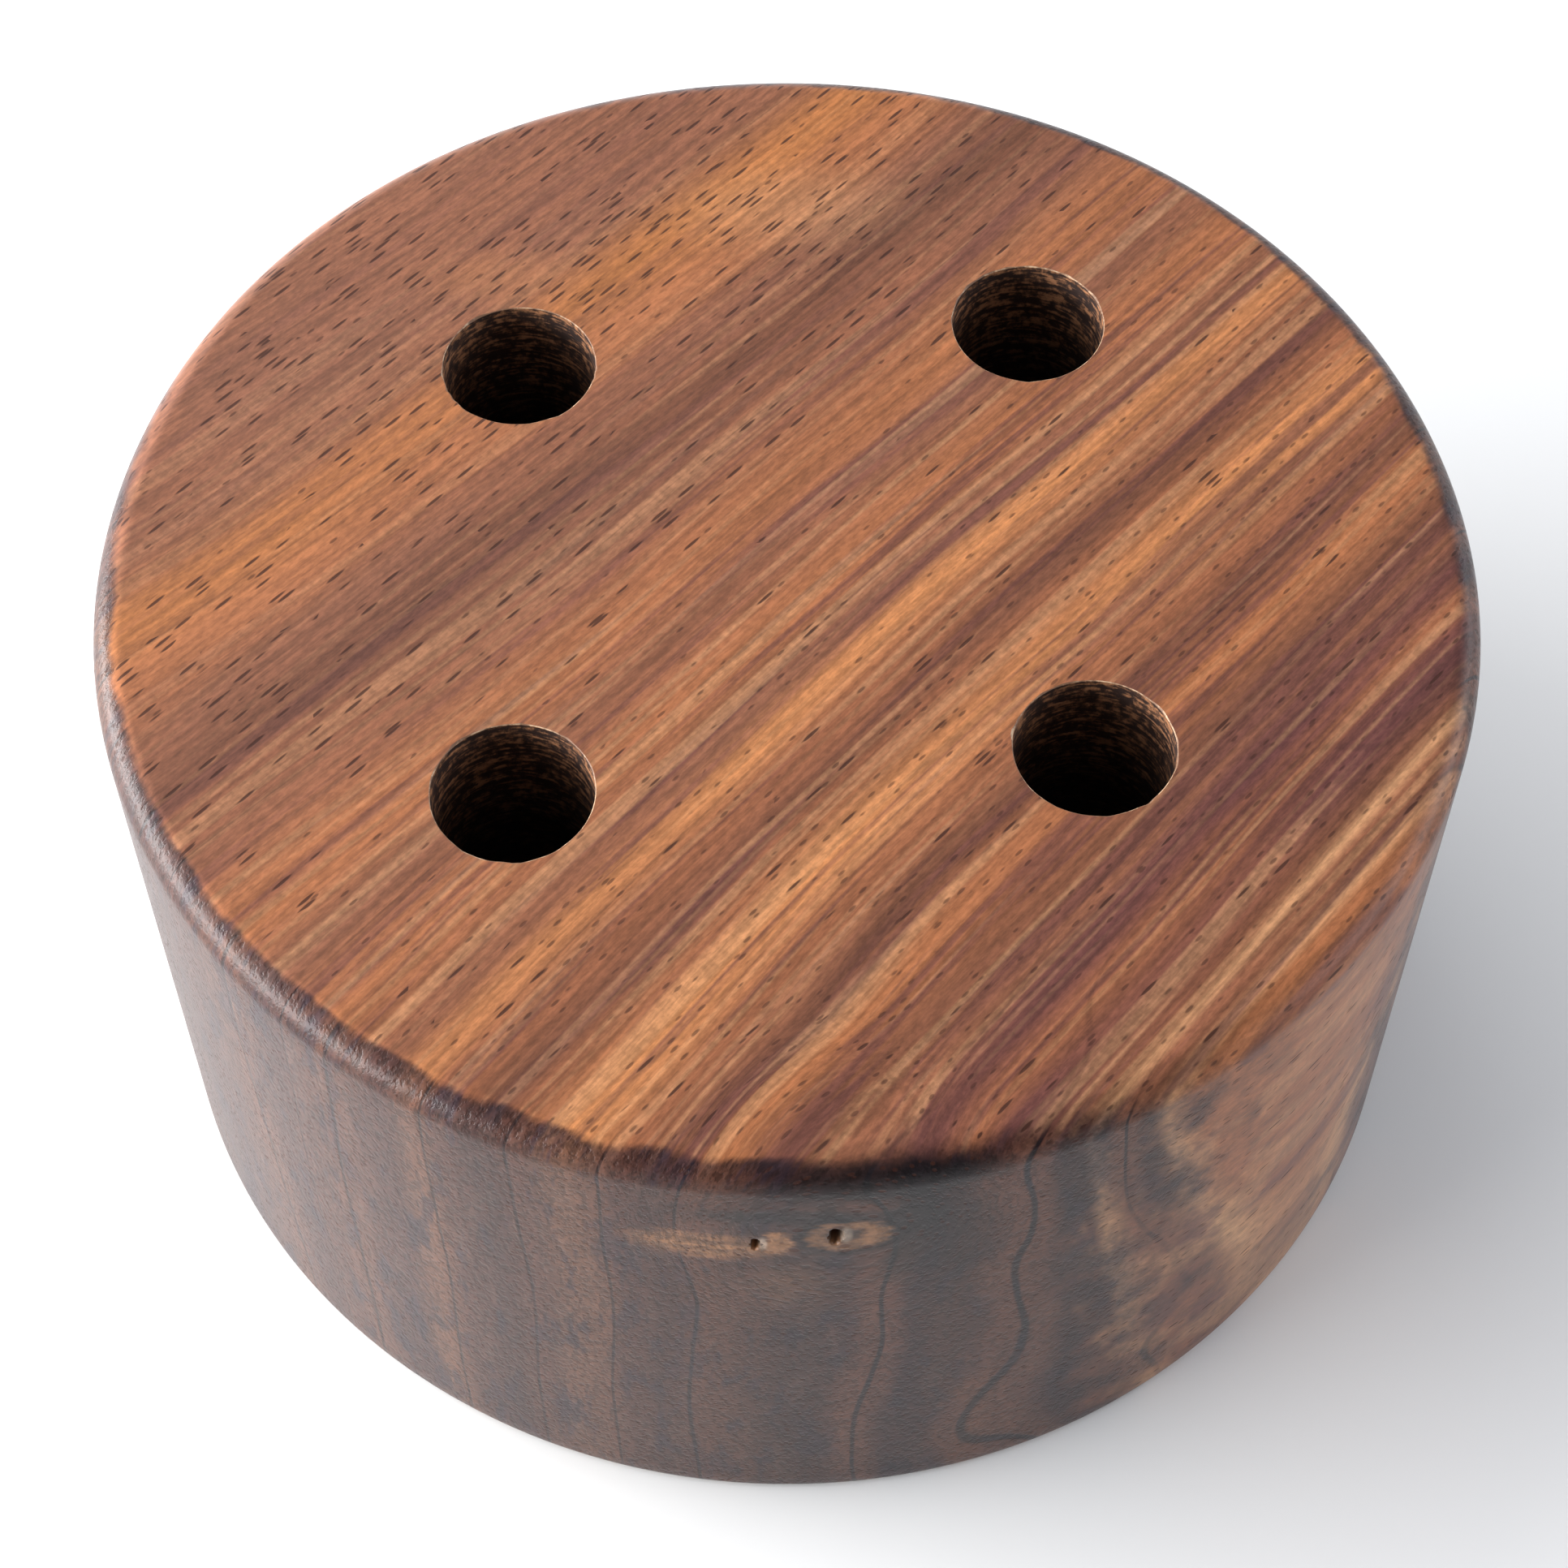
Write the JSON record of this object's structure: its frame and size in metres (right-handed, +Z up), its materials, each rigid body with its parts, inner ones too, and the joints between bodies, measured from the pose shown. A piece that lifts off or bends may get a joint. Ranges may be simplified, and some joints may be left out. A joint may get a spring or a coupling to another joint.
{
  "type": "dip pen holder",
  "caption": "Low round wooden block that stands dip pens upright in blind holes laid out on a square, with a softly rounded rim and a flat base.",
  "frame": {"origin": "centre of the flat base, on the surface that the block stands on", "axes": "+Z up through the block; +X and +Y along the sides of the square that the holes are laid out on, with -Y towards the user"},
  "size_m": [0.1016, 0.1016, 0.0508],
  "materials": {
    "walnut": "oiled black walnut, sanded to a satin"
  },
  "bodies": {
    "root": {"block": "walnut"}
  },
  "joints": []
}
